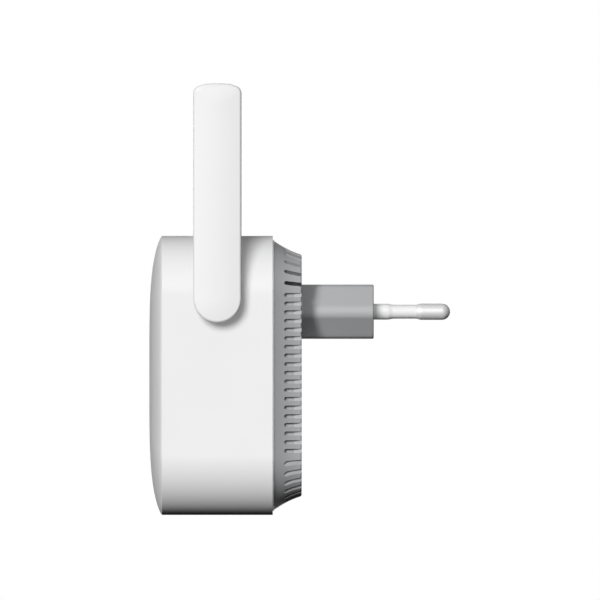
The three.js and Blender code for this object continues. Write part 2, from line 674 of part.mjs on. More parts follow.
bossPlaces().forEach(([x, z], i) => {
  placedScrew(`housing_screw_${i + 1}`, SCREW.length, SCREW.head, [x, COVER.rear - 0.15, z]);
});
SIDES.forEach(([label, side]) => {
  const place = [side * BOARD_POST.x, MAIN_BOARD.back + BOARD_SCREW.proud, BODY.z];
  placedScrew(`board_screw_${label}`, BOARD_SCREW.length, BOARD_SCREW.head, place);
});

export default extender;
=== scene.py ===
import json
import math

import bmesh
import bpy
from mathutils import Matrix, Vector


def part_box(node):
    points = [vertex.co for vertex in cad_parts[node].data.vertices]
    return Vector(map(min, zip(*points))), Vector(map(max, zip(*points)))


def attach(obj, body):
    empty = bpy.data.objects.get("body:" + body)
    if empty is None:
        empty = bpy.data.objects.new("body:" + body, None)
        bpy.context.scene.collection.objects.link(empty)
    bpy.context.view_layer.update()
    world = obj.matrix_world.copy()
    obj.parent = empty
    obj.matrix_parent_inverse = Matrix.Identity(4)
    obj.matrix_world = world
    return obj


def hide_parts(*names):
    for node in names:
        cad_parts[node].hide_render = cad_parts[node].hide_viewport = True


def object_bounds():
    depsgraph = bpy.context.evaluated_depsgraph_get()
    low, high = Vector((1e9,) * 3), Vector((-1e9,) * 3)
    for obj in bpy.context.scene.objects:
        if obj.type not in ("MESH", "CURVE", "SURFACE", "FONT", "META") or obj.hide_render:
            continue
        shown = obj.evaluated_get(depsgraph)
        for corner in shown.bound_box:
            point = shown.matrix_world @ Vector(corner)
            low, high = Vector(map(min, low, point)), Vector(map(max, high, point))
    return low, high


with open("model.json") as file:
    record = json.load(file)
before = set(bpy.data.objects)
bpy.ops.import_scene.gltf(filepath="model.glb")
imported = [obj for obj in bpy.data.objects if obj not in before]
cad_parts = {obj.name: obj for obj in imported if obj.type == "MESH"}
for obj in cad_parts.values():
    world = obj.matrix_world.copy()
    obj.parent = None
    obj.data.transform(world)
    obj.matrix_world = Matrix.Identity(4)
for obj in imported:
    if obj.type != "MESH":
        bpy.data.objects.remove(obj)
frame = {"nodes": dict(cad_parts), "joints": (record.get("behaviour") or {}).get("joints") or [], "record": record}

MM = 0.001
JOIN = 1e-7
SCENE = bpy.context.scene
NODES = frame["nodes"]
CAD_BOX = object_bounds()

# Places that the frame gives.
HOUSING_LOW, HOUSING_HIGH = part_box("front_housing")
COVER_LOW, COVER_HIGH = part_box("rear_cover")
HALF = HOUSING_HIGH.x
BODY_Z = (HOUSING_LOW.z + HOUSING_HIGH.z) / 2
FRONT = HOUSING_LOW.y
BACK = COVER_HIGH.y
UNDERSIDE = HOUSING_LOW.z
SIDES = (("right", 1), ("left", -1))

# Driving sizes of the front housing.
CORNER = 15 * MM
WALL = 2 * MM
DOME_HEIGHT = 3.1 * MM
DOME_FLATNESS = 4.4
DOME_FALL = 0.8
CREASE_ROUND = 0.15 * MM
RIM_ROUND = 0.08 * MM
STEP_LIP = 0.3 * MM
SEAM = 0.02 * MM
CREASE = FRONT + DOME_HEIGHT
POST_FOOT = CREASE - 0.9 * MM
BAND_REAR = COVER_LOW.y + 2.7 * MM
BOSS = 22.5 * MM
BOARD_POST = 26 * MM
SEAT_RADIUS = 6.8 * MM
SEAT_INNER = 3.05 * MM
SEAT_OUTER = 1.65 * MM
LIGHT_RADIUS = 0.8 * MM

# Driving sizes of the rear cover, its vent slots and the baffle behind them.
CORNER_CENTRE = 20.2 * MM
COVER_EDGE = 34.2
COVER_SLOPE = -0.72
COVER_CURVE = 0.029
COVER_WALL = 0.8 * MM
COVER_FILLET = 0.5 * MM
CHAMBER = 31.4 * MM
PANEL = 2 * MM
SLOT_FLOOR = 30.3 * MM
SLOT_WIDTH = 1.0 * MM
SLOT_PITCH = 2.19 * MM
SLOT_START = 2.9 * MM
SLOT_SHIFT = -0.45 * MM
SLOTS_PER_SIDE = 18
UPPER_CORNERS = (2, 3)
UPPER_FAN = (math.radians(14.5), math.radians(15))
DEEP_FLOORS = (27.6 * MM, 27.6 * MM, 27.6 * MM, 27.6 * MM, 26.2 * MM, 30.3 * MM)
LOWER_FAN = (math.radians(10.6), math.radians(13.2))
GROOVES_PER_CORNER = 6
GROOVE_WIDTH = 1.35 * MM
GROOVE_DEPTH = 0.75 * MM
GROOVE_FLOOR = 0.1 * MM
BAFFLE_HALF = 31.25 * MM
BAFFLE_REAR_HALF = 30.35 * MM
BAFFLE_WALL = 1.2 * MM
BAFFLE_THICK_CORNER = 17.5 * MM

# Driving sizes of the mains plug.
PLUG_HALF_HEIGHT = 6.85 * MM
PLUG_HALF_WIDTH = 18.69 * MM
PLUG_WALL = 2 * MM
PLUG_FLANGE = 2.2 * MM
PIN_RADIUS = 2.05
PIN_NECK = 1.25
PIN_LENGTH = 19.3
PIN_BASE = 9.3 * MM
PIN_TILT = math.radians(1.66)
PLUG_PIECES = ("plug_body_shell", "plug_pin_right_turned", "plug_pin_left_turned",
               "pin_sleeve_right_moulding", "pin_sleeve_left_moulding")

# Driving sizes of an antenna, with the pivot at the origin.
ANTENNA_HALF = 6.1 * MM
ANTENNA_TOP = 54.4 * MM
ANTENNA_GAP = 0.35 * MM
ANTENNA_OUT = 6 * MM
ANTENNA_CROWN = 0.35 * MM
ANTENNA_SPLIT = 3.15 * MM
ANTENNA_WALL = 1.2 * MM
OUTER_FILLET = 0.7 * MM
INNER_FILLET = 0.6 * MM
BARREL_RADIUS = 3.5 * MM
BARREL_END = -6.7 * MM
BARREL_BORE = 1.9 * MM
GROOVE_NECK = 2.7 * MM
CABLE_RADIUS = 0.55 * MM

# The softened edges of the pieces that stay as CAD made them.
EDGE_WEAR = 0.08 * MM


# Meshes: outlines, lofts and cuts.

def arc(centre, radius, start, end, steps):
    """Points of an arc, in degrees, as (a, b) pairs."""
    points = []
    for i in range(steps + 1):
        angle = math.radians(start + (end - start) * i / steps)
        points.append((centre[0] + radius * math.cos(angle), centre[1] + radius * math.sin(angle)))
    return points


def rounded_outline(corners, steps=8):
    """A polygon, anticlockwise, whose corners (a, b, radius) are rounded."""
    points = []
    for i, (a, b, radius) in enumerate(corners):
        here = Vector((a, b))
        back = (Vector(corners[i - 1][:2]) - here).normalized()
        ahead = (Vector(corners[(i + 1) % len(corners)][:2]) - here).normalized()
        half_angle = back.angle(ahead) / 2
        centre = here + (back + ahead).normalized() * (radius / math.sin(half_angle))
        start = here + back * (radius / math.tan(half_angle)) - centre
        turn = math.pi - 2 * half_angle
        first = math.atan2(start.y, start.x)
        for k in range(steps + 1):
            angle = first + turn * k / steps
            points.append((centre.x + radius * math.cos(angle), centre.y + radius * math.sin(angle)))
    return points


def make_object(name, points, faces, dissolve=False):
    """A mesh object with joined points and outward faces, if asked without faces of no area."""
    mesh = bpy.data.meshes.new(name)
    mesh.from_pydata([tuple(p) for p in points], [], faces)
    work = bmesh.new()
    work.from_mesh(mesh)
    bmesh.ops.remove_doubles(work, verts=work.verts, dist=JOIN)
    if dissolve:
        bmesh.ops.dissolve_degenerate(work, edges=work.edges, dist=JOIN)
    bmesh.ops.recalc_face_normals(work, faces=work.faces)
    work.to_mesh(mesh)
    work.free()
    obj = bpy.data.objects.new(name, mesh)
    SCENE.collection.objects.link(obj)
    return obj


def loft(name, rings, closed_ends=True):
    """A skin over rings of equally many points, capped at both ends or joined last to first."""
    count = len(rings[0])
    points = [p for one in rings for p in one]
    faces = []
    bands = len(rings) - 1 if closed_ends else len(rings)
    for i in range(bands):
        low, high = i * count, (i + 1) % len(rings) * count
        for j in range(count):
            k = (j + 1) % count
            faces.append((low + j, low + k, high + k, high + j))
    if closed_ends:
        faces.append(tuple(range(count)))
        faces.append(tuple(range(len(points) - count, len(points))))
    return make_object(name, points, faces)


def body_ring(y, half, corner):
    """The round-cornered square of the body, across Y."""
    inset = half - corner
    outline = []
    for quarter, (sx, sz) in enumerate(((1, 1), (-1, 1), (-1, -1), (1, -1))):
        outline += arc((sx * inset, sz * inset), corner, 90 * quarter, 90 * quarter + 90, 20)
    return [Vector((x, y, BODY_Z + z)) for x, z in outline]


def ring_y(outline, y):
    return [Vector((x, y, z)) for x, z in outline]


def ring_x(outline, x):
    return [Vector((x, y, z)) for y, z in outline]


def ring_z(outline, z):
    return [Vector((x, y, z)) for x, y in outline]


def revolve(name, profile, steps=40, closed=False):
    """Turns a (radius, y) profile about the Y axis. A closed profile makes a ring-shaped solid."""
    points, faces = [], []
    for i in range(steps):
        angle = math.tau * i / steps
        points += [(r * math.cos(angle), y, r * math.sin(angle)) for r, y in profile]
    count = len(profile)
    spans = count if closed else count - 1
    for i in range(steps):
        here, there = i * count, (i + 1) % steps * count
        for j in range(spans):
            k = (j + 1) % count
            faces.append((here + j, here + k, there + k, there + j))
    return make_object(name, points, faces, dissolve=True)


def box_object(name, low, high):
    (x0, y0, z0), (x1, y1, z1) = low, high
    outline = [(x0, z0), (x1, z0), (x1, z1), (x0, z1)]
    return loft(name, [ring_y(outline, y0), ring_y(outline, y1)])


def box_centre(node):
    low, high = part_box(node)
    return (low + high) / 2


def place(obj, matrix):
    """Moves the mesh itself, and keeps its faces outward through a mirror."""
    obj.data.transform(matrix)
    if matrix.determinant() < 0:
        obj.data.flip_normals()
    return obj


def merged(name, objects):
    """One object that holds the meshes of several."""
    work = bmesh.new()
    for obj in objects:
        work.from_mesh(obj.data)
        bpy.data.objects.remove(obj)
    mesh = bpy.data.meshes.new(name)
    work.to_mesh(mesh)
    work.free()
    obj = bpy.data.objects.new(name, mesh)
    SCENE.collection.objects.link(obj)
    return obj


def boolean(obj, tools, operation="DIFFERENCE"):
    """Cuts the tools from the object, or joins them to it, and removes them."""
    for tool in tools:
        modifier = obj.modifiers.new("boolean", "BOOLEAN")
        modifier.object = tool
        modifier.operation = operation
        modifier.solver = "MANIFOLD"
    graph = bpy.context.evaluated_depsgraph_get()
    made = bpy.data.meshes.new_from_object(obj.evaluated_get(graph))
    obj.modifiers.clear()
    obj.data = made
    for tool in tools:
        bpy.data.objects.remove(tool)
    return obj


def soften(obj, width):
    """Rounds the sharp edges of a piece."""
    modifier = obj.modifiers.new("edges", "BEVEL")
    modifier.width = width
    modifier.segments = 2
    modifier.limit_method = "ANGLE"
    modifier.angle_limit = math.radians(35)


def piece(obj, body, node, sharp_angle=28):
    """Finishes a new piece: shading, the material of its node's slot, and its body. The CAD part of the node is
    hidden.
    """
    for polygon in obj.data.polygons:
        polygon.use_smooth = True
    obj.data.set_sharp_from_angle(angle=math.radians(sharp_angle))
    flatten = obj.modifiers.new("normals", "WEIGHTED_NORMAL")
    flatten.mode = "FACE_AREA"
    flatten.keep_sharp = True
    obj.data.materials.clear()
    obj.data.materials.append(MATERIALS[NODE_SLOTS[node]])
    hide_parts(node)
    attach(obj, body)


# Materials.

def node_material(name):
    material = bpy.data.materials.new(name)
    material.use_nodes = True
    nodes = material.node_tree.nodes
    return material, nodes, material.node_tree.links, nodes["Principled BSDF"]


def noise(nodes, links, scale, detail, roughness=0.5):
    """Noise over the object's own coordinates. The scale is in features per metre."""
    place_node = nodes.new("ShaderNodeTexCoord")
    texture = nodes.new("ShaderNodeTexNoise")
    texture.inputs["Scale"].default_value = scale
    texture.inputs["Detail"].default_value = detail
    texture.inputs["Roughness"].default_value = roughness
    links.new(place_node.outputs["Object"], texture.inputs["Vector"])
    return texture


def colour_ramp(nodes, links, source, low, high, span=(0.3, 0.7)):
    ramp = nodes.new("ShaderNodeValToRGB")
    ramp.color_ramp.elements[0].position = span[0]
    ramp.color_ramp.elements[1].position = span[1]
    ramp.color_ramp.elements[0].color = (*low, 1)
    ramp.color_ramp.elements[1].color = (*high, 1)
    links.new(source, ramp.inputs["Fac"])
    return ramp.outputs["Color"]


def bump(nodes, links, height, strength, distance, shader, before=None):
    """A bump on the shader, on top of an earlier one where it is given."""
    node = nodes.new("ShaderNodeBump")
    node.inputs["Strength"].default_value = strength
    node.inputs["Distance"].default_value = distance
    links.new(height, node.inputs["Height"])
    if before:
        links.new(before.outputs["Normal"], node.inputs["Normal"])
    links.new(node.outputs["Normal"], shader.inputs["Normal"])
    return node


def scaled(colour, factor):
    return tuple(c * factor for c in colour)


def moulded_plastic(name, colour, roughness=0.5, variation=0.012, grain=0.12):
    """Spark-textured moulding: a fine grain, a slow waviness and a slight change of tone."""
    material, nodes, links, shader = node_material(name)
    tone = noise(nodes, links, 45, detail=2)
    colours = colour_ramp(nodes, links, tone.outputs["Fac"], scaled(colour, 1 - variation),
                          scaled(colour, 1 + variation))
    links.new(colours, shader.inputs["Base Color"])
    shader.inputs["Roughness"].default_value = roughness
    shader.inputs["Specular IOR Level"].default_value = 0.3
    wave = noise(nodes, links, 120, detail=1)
    waved = bump(nodes, links, wave.outputs["Fac"], 0.05, 0.1 * MM, shader)
    fine = noise(nodes, links, 4200, detail=2, roughness=0.6)
    bump(nodes, links, fine.outputs["Fac"], grain, 0.02 * MM, shader, waved)
    return material


def metal(name, colour, roughness=0.3, stretch=(1, 1, 1), share=1.0):
    """Plated or rolled metal: fine streaks in the roughness and the surface."""
    material, nodes, links, shader = node_material(name)
    mapping = nodes.new("ShaderNodeMapping")
    mapping.inputs["Scale"].default_value = stretch
    streaks = noise(nodes, links, 1500, detail=4)
    source = streaks.inputs["Vector"].links[0].from_socket
    links.new(source, mapping.inputs["Vector"])
    links.new(mapping.outputs["Vector"], streaks.inputs["Vector"])
    tone = noise(nodes, links, 90, detail=2)
    colours = colour_ramp(nodes, links, tone.outputs["Fac"], scaled(colour, 0.95), scaled(colour, 1.03))
    links.new(colours, shader.inputs["Base Color"])
    shader.inputs["Metallic"].default_value = share
    spread = nodes.new("ShaderNodeMapRange")
    spread.inputs["To Min"].default_value = roughness * 0.8
    spread.inputs["To Max"].default_value = roughness * 1.25
    links.new(streaks.outputs["Fac"], spread.inputs["Value"])
    links.new(spread.outputs["Result"], shader.inputs["Roughness"])
    bump(nodes, links, streaks.outputs["Fac"], 0.06, 0.01 * MM, shader)
    return material


def clear_plastic(name, roughness, index):
    """Clear moulding with faint flow lines."""
    material, nodes, links, shader = node_material(name)
    flow = noise(nodes, links, 300, detail=2)
    tint = colour_ramp(nodes, links, flow.outputs["Fac"], (0.86, 0.88, 0.88), (0.95, 0.96, 0.96))
    links.new(tint, shader.inputs["Base Color"])
    shader.inputs["Roughness"].default_value = roughness
    shader.inputs["IOR"].default_value = index
    shader.inputs["Transmission Weight"].default_value = 0.85
    bump(nodes, links, flow.outputs["Fac"], 0.05, 0.02 * MM, shader)
    return material


def laminate():
    """Green solder mask over glass weave, with tracks that show through as lighter lines."""
    material, nodes, links, shader = node_material("board_laminate")
    place_node = nodes.new("ShaderNodeTexCoord")
    cells = nodes.new("ShaderNodeTexVoronoi")
    cells.distance = "CHEBYCHEV"
    cells.feature = "F2"
    cells.inputs["Scale"].default_value = 420
    links.new(place_node.outputs["Object"], cells.inputs["Vector"])
    tracks = colour_ramp(nodes, links, cells.outputs["Distance"], (0.012, 0.075, 0.035),
                         (0.02, 0.15, 0.06), span=(0.55, 0.62))
    links.new(tracks, shader.inputs["Base Color"])
    shader.inputs["Roughness"].default_value = 0.3
    shader.inputs["Specular IOR Level"].default_value = 0.5
    weave = noise(nodes, links, 2500, detail=1)
    raised = bump(nodes, links, cells.outputs["Distance"], 0.2, 0.03 * MM, shader)
    bump(nodes, links, weave.outputs["Fac"], 0.1, 0.01 * MM, shader, raised)
    return material


MATERIALS = {
    "white_shell": moulded_plastic("white_moulding", (0.79, 0.79, 0.79)),
    "grey_shell": moulded_plastic("grey_moulding", (0.425, 0.43, 0.44), roughness=0.55),
    "pin_sleeve_plastic": moulded_plastic("sleeve_moulding", (0.83, 0.83, 0.83), roughness=0.45),
    "black_plastic": moulded_plastic("black_moulding", (0.02, 0.02, 0.022), 0.45, variation=0.1),
    "pin_metal": metal("plated_pin", (0.76, 0.76, 0.76), roughness=0.5, stretch=(1, 0.1, 1), share=0.2),
    "fastener_steel": metal("bright_steel", (0.55, 0.56, 0.58)),
    "sheet_steel": metal("tinned_sheet", (0.62, 0.62, 0.61), roughness=0.36, stretch=(1, 1, 0.15)),
    "contact_brass": metal("contact_brass", (0.72, 0.5, 0.2), roughness=0.25),
    "heat_sink_aluminium": metal("drawn_aluminium", (0.5, 0.51, 0.53), 0.42, stretch=(1, 1, 0.05)),
    "choke_winding": metal("enamelled_copper", (0.62, 0.25, 0.1), stretch=(0.2, 1, 0.2)),
    "thermal_pad_silicone": moulded_plastic("silicone_pad", (0.33, 0.4, 0.5), 0.8, 0.05, 0.3),
    "washer_rubber": moulded_plastic("washer_rubber", (0.03, 0.03, 0.03), 0.75, 0.15, 0.25),
    "cable_jacket": moulded_plastic("cable_jacket", (0.12, 0.12, 0.13), 0.4, 0.06),
    "fuse_ceramic": moulded_plastic("fuse_ceramic", (0.68, 0.65, 0.58), 0.35, 0.05, 0.2),
    "capacitor_sleeve": moulded_plastic("capacitor_sleeve", (0.02, 0.03, 0.09), 0.3, 0.1),
    "ferrite": moulded_plastic("ferrite", (0.07, 0.065, 0.065), 0.7, 0.25, 0.4),
    "winding_tape": moulded_plastic("winding_tape", (0.72, 0.5, 0.07), 0.35, 0.08),
    "led_package": moulded_plastic("lamp_package", (0.75, 0.72, 0.5), 0.3, 0.06),
    "board_laminate": laminate(),
    "light_pipe_clear": clear_plastic("light_pipe", 0.08, 1.49),
    "insulation_film": clear_plastic("insulation_film", 0.35, 1.45),
}
NODE_SLOTS = {part["node"]: part["material_slot"] for part in frame["record"]["subparts"]}


# Camera, light and floor.

PICTURE_WIDTH = 151.6 * MM
PICTURE_SHIFT = Vector((0, 0, -0.22)) * MM
CAMERA_DISTANCE = 0.6
KEY_TOWARDS, KEY_STRENGTH = (0.926, -0.256, 0.277), 2.58
FILL_TOWARDS, FILL_STRENGTH = (0.815, -0.489, 0.309), 1.13
AMBIENT = 0.003
WALL_TONE = (("From Min", -0.3), ("From Max", 0.5), ("To Min", 0.0), ("To Max", 0.35))
FLOOR_REACH = 3.0
FLOOR_DROP = 0.5 * MM


def make_camera():
    """A level camera on the right side, square to it and without perspective."""
    data = bpy.data.cameras.new("camera")
    data.type = "ORTHO"
    data.ortho_scale = PICTURE_WIDTH
    camera = bpy.data.objects.new("camera", data)
    low, high = CAD_BOX
    centre = (low + high) / 2
    camera.location = centre + PICTURE_SHIFT + Vector((CAMERA_DISTANCE, 0, 0))
    camera.rotation_euler = (math.radians(90), 0, math.radians(90))
    data.clip_start = 0.01
    data.clip_end = 10
    SCENE.collection.objects.link(camera)
    SCENE.camera = camera


def make_sun(name, towards, strength, angle):
    """A sun in a direction. Its angle softens the edge of its shadows."""
    data = bpy.data.lights.new(name, "SUN")
    data.energy = strength
    data.angle = angle
    lamp = bpy.data.objects.new(name, data)
    lamp.rotation_euler = Vector(towards).to_track_quat("Z", "Y").to_euler()
    SCENE.collection.objects.link(lamp)
    return lamp


def link_light(lamp, blockers=(), lit=(), unlit=()):
    """The lamp lights only lit, or all but unlit. Where blockers are named, only they cast its shadows."""
    receivers = bpy.data.collections.new(lamp.name + "_receivers")
    for name in (*lit, *unlit):
        receivers.objects.link(bpy.data.objects[name])
    for entry in receivers.collection_objects:
        entry.light_linking.link_state = "INCLUDE" if lit else "EXCLUDE"
    lamp.light_linking.receiver_collection = receivers
    if not blockers:
        return
    shades = bpy.data.collections.new(lamp.name + "_blockers")
    for name in blockers:
        shades.objects.link(bpy.data.objects[name])
    lamp.light_linking.blocker_collection = shades


def make_world():
    """White to the camera, lighter upwards in reflections, and nearly dark to the rest."""
    world = bpy.data.worlds.new("studio")
    world.use_nodes = True
    SCENE.world = world
    nodes, links = world.node_tree.nodes, world.node_tree.links
    background = nodes["Background"]
    background.inputs["Color"].default_value = (1, 1, 1, 1)
    background.inputs["Strength"].default_value = AMBIENT
    backdrop = nodes.new("ShaderNodeBackground")
    backdrop.inputs["Color"].default_value = (1, 1, 1, 1)
    backdrop.inputs["Strength"].default_value = 1.0
    walls = nodes.new("ShaderNodeBackground")
    direction = nodes.new("ShaderNodeTexCoord")
    split = nodes.new("ShaderNodeSeparateXYZ")
    links.new(direction.outputs["Generated"], split.inputs["Vector"])
    height = nodes.new("ShaderNodeMapRange")
    height.interpolation_type = "SMOOTHSTEP"
    for socket, value in WALL_TONE:
        height.inputs[socket].default_value = value
    links.new(split.outputs["Z"], height.inputs["Value"])
    links.new(height.outputs["Result"], walls.inputs["Strength"])
    path = nodes.new("ShaderNodeLightPath")

    def mixed(ray, other, seen):
        mix = nodes.new("ShaderNodeMixShader")
        links.new(path.outputs[ray], mix.inputs["Fac"])
        links.new(other.outputs[0], mix.inputs[1])
        links.new(seen.outputs["Background"], mix.inputs[2])
        return mix

    surface = mixed("Is Camera Ray", mixed("Is Glossy Ray", background, walls), backdrop)
    links.new(surface.outputs["Shader"], nodes["World Output"].inputs["Surface"])


def make_floor():
    """A white table under the object, which throws neither light nor shadow on it."""
    z = CAD_BOX[0].z - FLOOR_DROP
    points = [(sx * FLOOR_REACH, sy * FLOOR_REACH, z) for sx, sy in ((-1, -1), (1, -1), (1, 1), (-1, 1))]
    floor = make_object("floor", points, [(0, 1, 2, 3)])
    material, nodes, links, shader = node_material("floor_paint")
    tone = noise(nodes, links, 8, detail=2)
    links.new(colour_ramp(nodes, links, tone.outputs["Fac"], (0.8, 0.8, 0.8), (0.83, 0.83, 0.83)),
              shader.inputs["Base Color"])
    shader.inputs["Roughness"].default_value = 0.9
    shader.inputs["Emission Color"].default_value = (1, 1, 1, 1)
    shader.inputs["Emission Strength"].default_value = 0.55
    floor.data.materials.append(material)
    floor.visible_diffuse = False
    floor.visible_glossy = False
    floor.visible_shadow = False


SCENE.view_settings.view_transform = "Standard"
make_camera()
make_world()
KEY = make_sun("key", KEY_TOWARDS, KEY_STRENGTH, 0.4)
PLUG_KEY = make_sun("plug_key", KEY_TOWARDS, KEY_STRENGTH, 0.16)
FILL = make_sun("fill", FILL_TOWARDS, FILL_STRENGTH, 0.15)
PLUG_FILL = make_sun("plug_fill", FILL_TOWARDS, FILL_STRENGTH, 0.15)
make_sun("far_side", (-0.84, 0.54, -0.02), 3.0, 0.3).visible_glossy = False
make_sun("front_left", (-0.9, -0.43, 0.05), 0.5, 0.3).visible_glossy = False
make_floor()


# The housing.

def dome_rings(depth, half, corner):
    """The domed front from its middle outwards, set back by a depth."""
    rings = []
    for scale in (0.04, 0.2, 0.35, 0.48, 0.6, 0.7, 0.78, 0.84, 0.89, 0.93, 0.96, 0.98, 0.992, 1.0):
        rise = DOME_HEIGHT * (1 - scale ** DOME_FLATNESS) ** DOME_FALL
        rings.append(body_ring(CREASE + depth - rise, half * scale, corner * scale))
    return rings


def mouth_cutter(name, outline_at):
    """A cutter for an opening in the underside, flared in a small arc where it meets the surface."""
    depth, round_edge = 3 * MM, 0.3 * MM
    rings = [ring_z(outline_at(0), UNDERSIDE + depth)]
    for a, b in arc((0, 0), round_edge, 0, 90, 5):
        rings.append(ring_z(outline_at(round_edge - a), UNDERSIDE + (round_edge - b)))
    rings.append(ring_z(outline_at(round_edge), UNDERSIDE - 1 * MM))
    return loft(name, rings)


def box_outline(low, high, radius, grow):
    """A rounded rectangle between two (x, y) corners, grown or shrunk."""
    x0, y0, x1, y1 = low[0] - grow, low[1] - grow, high[0] + grow, high[1] + grow
    r = radius + grow
    return rounded_outline([(x0, y0, r), (x1, y0, r), (x1, y1, r), (x0, y1, r)], 6)


def rod_object(name, radius, start, end, steps=32):
    """A straight round rod between two points."""
    start, end = Vector(start), Vector(end)
    turn = (end - start).to_track_quat("Z", "Y").to_matrix().to_4x4()
    outline = arc((0, 0), radius, 0, 360 - 360 / steps, steps - 1)
    rod = loft(name, [ring_z(outline, 0), ring_z(outline, (end - start).length)])
    return place(rod, Matrix.Translation(start) @ turn)


def front_housing():
    """The domed front and the band, hollow, with its posts, pivot seats and openings."""
    dome_half = HALF - CREASE_ROUND
    rings = dome_rings(0, dome_half, CORNER)
    for a, b in arc((0, 0), CREASE_ROUND, 75, 0, 5):
        rings.append(body_ring(CREASE + CREASE_ROUND - b, dome_half + a, CORNER))
    for a, b in arc((0, 0), RIM_ROUND, 0, 90, 3):
        rings.append(body_ring(BAND_REAR - RIM_ROUND + b, HALF - RIM_ROUND + a, CORNER - RIM_ROUND + a))
    step = cover_half(0) - HALF + SEAM
    inner, inner_corner, chamfer = HALF - WALL, CORNER - WALL, 0.15 * MM
    rings += [body_ring(BAND_REAR, HALF + step, CORNER + step),
              body_ring(BAND_REAR + STEP_LIP, HALF + step, CORNER + step),
              body_ring(BAND_REAR + STEP_LIP, inner + chamfer, inner_corner + chamfer),
              body_ring(BAND_REAR - chamfer, inner, inner_corner)]
    rings += reversed(dome_rings(WALL, inner, inner_corner))
    shell = loft("front_housing_shell", rings)
    boolean(shell, housing_posts(), "UNION")
    boolean(shell, housing_openings())
    piece(shell, "housing", "front_housing")


def housing_posts():
    """Posts for the cover's screws and the main board, and the flat pads that the antennas turn on."""
    board_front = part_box("main_board")[0].y
    posts = []
    for side in (-1, 1):
        for sz in (-1, 1):
            x, z = side * BOSS, BODY_Z + sz * BOSS
            posts.append(rod_object("post", 3 * MM, (x, POST_FOOT, z), (x, HOUSING_HIGH.y, z)))
        x = side * BOARD_POST
        posts.append(rod_object("post", 2.4 * MM, (x, POST_FOOT, BODY_Z),
                                (x, board_front - 0.3 * MM, BODY_Z)))
    for side in (-1, 1):
        hinge = hinge_place(side)
        posts.append(rod_object("seat", SEAT_RADIUS, hinge - Vector((side * SEAT_INNER, 0, 0)),
                                hinge - Vector((side * SEAT_OUTER, 0, 0)), 48))
    return posts


def housing_openings():
    """Cutters for the jack, the button, the pivots, the screws and the two lamps."""
    jack_low, jack_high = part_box("jack_shell")
    gap = 0.3 * MM
    low = (jack_low.x - gap, jack_low.y - gap)
    high = (jack_high.x + gap, jack_high.y + gap)
    cutters = [mouth_cutter("jack_mouth", lambda grow: box_outline(low, high, 0.5 * MM, grow)),
               mouth_cutter("button_mouth", lambda grow: button_outline(0.2 * MM + grow))]
    for side in (-1, 1):
        hinge = hinge_place(side)
        cutters.append(rod_object("pivot_hole", 3.8 * MM, hinge - Vector((side * 4 * MM, 0, 0)),
                                  hinge + Vector((side * 2 * MM, 0, 0))))
        for sz in (-1, 1):
            x, z = side * BOSS, BODY_Z + sz * BOSS
            cutters.append(rod_object("screw_hole", 1.5 * MM, (x, HOUSING_HIGH.y - 12 * MM, z),
                                      (x, HOUSING_HIGH.y + 1 * MM, z)))
    for node in ("status_light_pipe", "signal_light_pipe"):
        centre = box_centre(node)
        cutters.append(rod_object("light_hole", LIGHT_RADIUS + 0.05 * MM,
                                  (centre.x, FRONT - 1 * MM, centre.z),
                                  (centre.x, CREASE + 1 * MM, centre.z)))
    return cutters


def hinge_place(side):
    """The antenna's pivot on the right (1) or the left (-1)."""
    name = "antenna_right_hinge" if side > 0 else "antenna_left_hinge"
    joint = next(j for j in frame["joints"] if j["name"] == name)
    return Vector(joint["pos_m"])


def hinge_turn(side):
    """Puts what is drawn about the origin, facing +X, on the pivot of a side."""
    turn = Matrix.Translation(hinge_place(side))
    return turn if side > 0 else turn @ Matrix.Rotation(math.pi, 4, "Z")


def button_outline(grow):
    """A pill shape around the plunger."""
    centre = box_centre("switch_plunger")
    length, width = 6 * MM, 3.4 * MM
    radius, reach = width / 2 + grow, (length - width) / 2
    return (arc((centre.x + reach, centre.y), radius, -90, 90, 12)
            + arc((centre.x - reach, centre.y), radius, 90, 270, 12))


def cover_half(aft):
    """Half the cover's width, at a distance behind the band. The cover flares in a shallow curve."""
    millimetres = aft / MM
    return (COVER_EDGE + COVER_SLOPE * millimetres + COVER_CURVE * millimetres ** 2) * MM


def slot_blade(floor, matrix):
    """One vent slot: a flat blade with a round front end, from its floor outwards."""
    radius = SLOT_WIDTH / 2
    start = BAND_REAR + SLOT_START
    end = BACK + 2 * MM
    outline = [(end, -radius), (end, radius)]
    outline += arc((start + radius, 0), radius, 90, 270, 8)
    return place(loft("blade", [ring_x(outline, x) for x in (floor, HALF + 2 * MM)]), matrix)


def side_turn(side):
    """Turns the right side to the right, the bottom, the left and the top, in that order."""
    return Matrix.Translation((0, 0, BODY_Z)) @ Matrix.Rotation(side * math.pi / 2, 4, "Y")


def corner_groove(matrix, up):
    """One slot of a lower corner: a straight upper wall, and a lower one that slopes out."""
    clear = 0.3 * MM
    radius = GROOVE_WIDTH / 2
    stations = [(SLOT_START + radius * (1 - math.cos(a)), math.sin(a))
                for a in (math.radians(angle) for angle in (15, 35, 60, 90))]
    stations.append((BACK - BAND_REAR + 0.3 * MM, 1))
    rings = []
    for aft, share in stations:
        surface = cover_half(aft)
        floor = surface - GROOVE_DEPTH
        width = GROOVE_WIDTH * share
        top = radius * share * 1.1
        slope = (width - GROOVE_FLOOR) / GROOVE_DEPTH
        outline = [(surface + clear, top), (floor, top), (floor, top - GROOVE_FLOOR),
                   (surface + clear, top - width - clear * slope)]
        rings.append(ring_y([(x, up * z) for x, z in outline], BAND_REAR + aft))
    return place(loft("groove", rings), matrix)


def corner_turn(side, angle):
    """Turns what is drawn on the right side round the corner that follows a side."""
    return (side_turn(side) @ Matrix.Translation((CORNER_CENTRE, 0, -CORNER_CENTRE))
            @ Matrix.Rotation(angle, 4, "Y") @ Matrix.Translation((-CORNER_CENTRE, 0, 0)))


